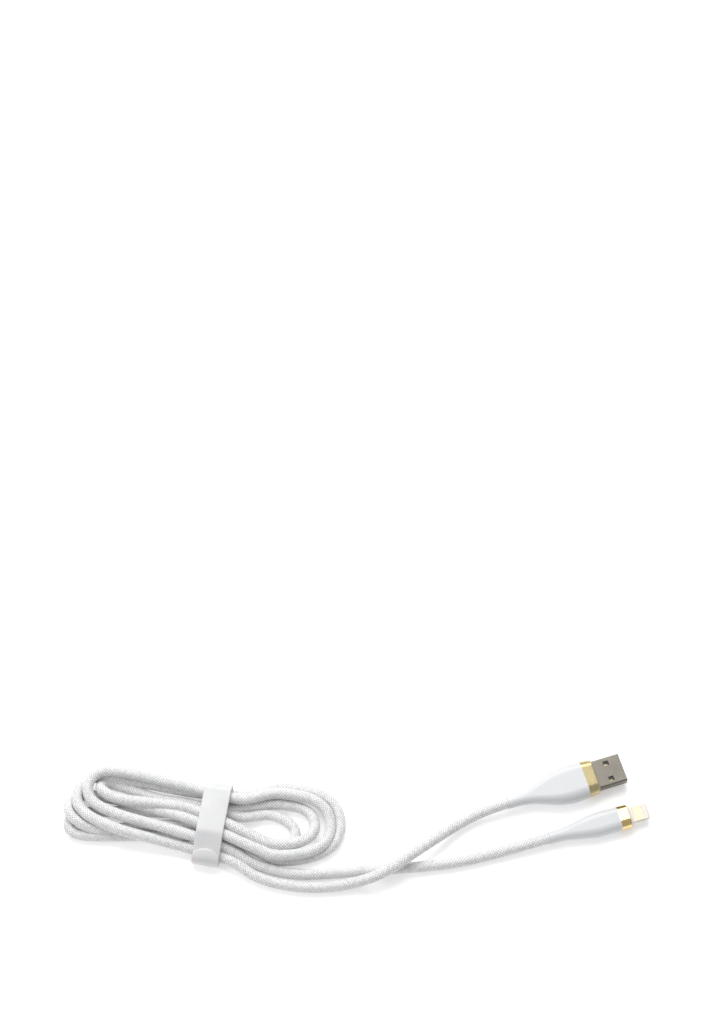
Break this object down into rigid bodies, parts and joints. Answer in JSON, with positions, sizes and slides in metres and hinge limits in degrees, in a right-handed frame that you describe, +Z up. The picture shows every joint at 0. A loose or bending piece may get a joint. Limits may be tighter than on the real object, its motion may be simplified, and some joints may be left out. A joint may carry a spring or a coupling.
{
  "type": "charging cable",
  "caption": "Braided charging cable with a USB-A plug and a small phone plug, wound into a long hank held by a flat tie.",
  "frame": {"origin": "middle of the footprint of the tie and the two plugs, on the surface that the cable lies on", "axes": "+X from the tie towards the plugs, +Z up from the surface, plugs lying with their wide faces up"},
  "size_m": [0.2411, 0.0585, 0.0113],
  "materials": {
    "braid": "braided polyester sleeve, white with silver-grey flecks",
    "tie_satin": "smooth satin strap, slightly milky",
    "housing_white": "soft satin white",
    "gold_brushed": "brushed round the collar",
    "gold_polished": "polished",
    "front_plate_white": "glossy",
    "shell_nickel": "warm grey nickel plate, finely brushed",
    "tab_steel": "satin polished steel",
    "contact_gold": "gold plate",
    "insulator_white": "moulded",
    "mould_milky": "moulded",
    "crimp_brass": "plain",
    "core_jacket": "extruded",
    "solder": "bright",
    "board_green": "solder mask",
    "chip_black": "moulded",
    "passive_tan": "ceramic",
    "shield_steel": "tinned",
    "wire_red": "extruded",
    "wire_white": "extruded",
    "wire_green": "extruded",
    "wire_black": "extruded"
  },
  "bodies": {
    "cable": {"hank": "braid", "phone_cable_core": "core_jacket", "phone_circuit_board": "board_green", "phone_collar": "gold_polished", "phone_contact_block": "insulator_white", "phone_contacts_bottom": "contact_gold", "phone_contacts_top": "contact_gold", "phone_controller_chip": "chip_black", "phone_crimp_ring": "crimp_brass", "phone_front_plate": "front_plate_white", "phone_housing": "housing_white", "phone_inner_mould": "mould_milky", "phone_passive_parts": "passive_tan", "phone_shield_lower": "shield_steel", "phone_shield_upper": "shield_steel", "phone_solder_joints": "solder", "phone_tab_frame": "tab_steel", "phone_tail": "braid", "phone_wire_black": "wire_black", "phone_wire_green": "wire_green", "phone_wire_red": "wire_red", "phone_wire_white": "wire_white", "usb_cable_core": "core_jacket", "usb_collar": "gold_brushed", "usb_contact_data_minus": "contact_gold", "usb_contact_data_plus": "contact_gold", "usb_contact_ground": "contact_gold", "usb_contact_power": "contact_gold", "usb_crimp_ring": "crimp_brass", "usb_housing": "housing_white", "usb_inner_mould": "mould_milky", "usb_shell": "shell_nickel", "usb_solder_joints": "solder", "usb_tail": "braid", "usb_tongue": "insulator_white", "usb_wire_black": "wire_black", "usb_wire_green": "wire_green", "usb_wire_red": "wire_red", "usb_wire_white": "wire_white"},
    "tie": {"cable_tie": "tie_satin"}
  },
  "joints": [
    {"name": "tie_slide", "type": "slide", "parent": "cable", "child": "tie", "axis": [0.9866, -0.1633, 0], "range_m": [-0.003, 0.003]}
  ]
}
